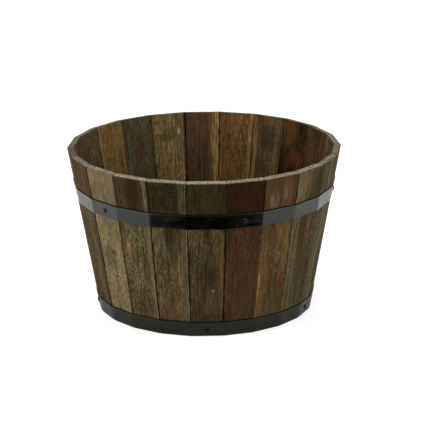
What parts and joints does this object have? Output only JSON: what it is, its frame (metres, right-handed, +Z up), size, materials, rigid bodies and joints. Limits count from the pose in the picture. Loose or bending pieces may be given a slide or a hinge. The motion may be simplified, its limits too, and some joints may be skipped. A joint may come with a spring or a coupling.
{
  "type": "barrel planter",
  "caption": "Open round tub of flat wooden staves that tapers to its foot, with a boarded bottom and two nailed black steel hoops, for planting.",
  "frame": {"origin": "centre of the tub's footprint, on the floor", "axes": "+Z up, -Y to the front as pictured, +X to the viewer's right"},
  "size_m": [0.5144, 0.5094, 0.3083],
  "materials": {
    "stave_wood": "dark stained and oiled, sawn face, satin, tone differs from stave to stave",
    "head_wood": "dark stained, planed, satin",
    "dowel_wood": "bare hardwood, smooth",
    "hoop_steel": "black gloss paint over rolled steel strip",
    "nail_steel": "black paint, semi-gloss"
  },
  "bodies": {
    "root": {"stave_01": "stave_wood", "stave_02": "stave_wood", "stave_03": "stave_wood", "stave_04": "stave_wood", "stave_05": "stave_wood", "stave_06": "stave_wood", "stave_07": "stave_wood", "stave_08": "stave_wood", "stave_09": "stave_wood", "stave_10": "stave_wood", "stave_11": "stave_wood", "stave_12": "stave_wood", "stave_13": "stave_wood", "stave_14": "stave_wood", "stave_15": "stave_wood", "stave_16": "stave_wood", "stave_17": "stave_wood", "stave_18": "stave_wood", "stave_19": "stave_wood", "stave_20": "stave_wood", "stave_21": "stave_wood", "stave_22": "stave_wood", "head_board_1": "head_wood", "head_board_2": "head_wood", "head_board_3": "head_wood", "head_board_4": "head_wood", "head_board_5": "head_wood", "head_dowels": "dowel_wood", "upper_hoop": "hoop_steel", "lower_hoop": "hoop_steel", "upper_hoop_nails": "nail_steel", "lower_hoop_nails": "nail_steel", "upper_hoop_rivets": "nail_steel", "lower_hoop_rivets": "nail_steel"}
  },
  "joints": []
}
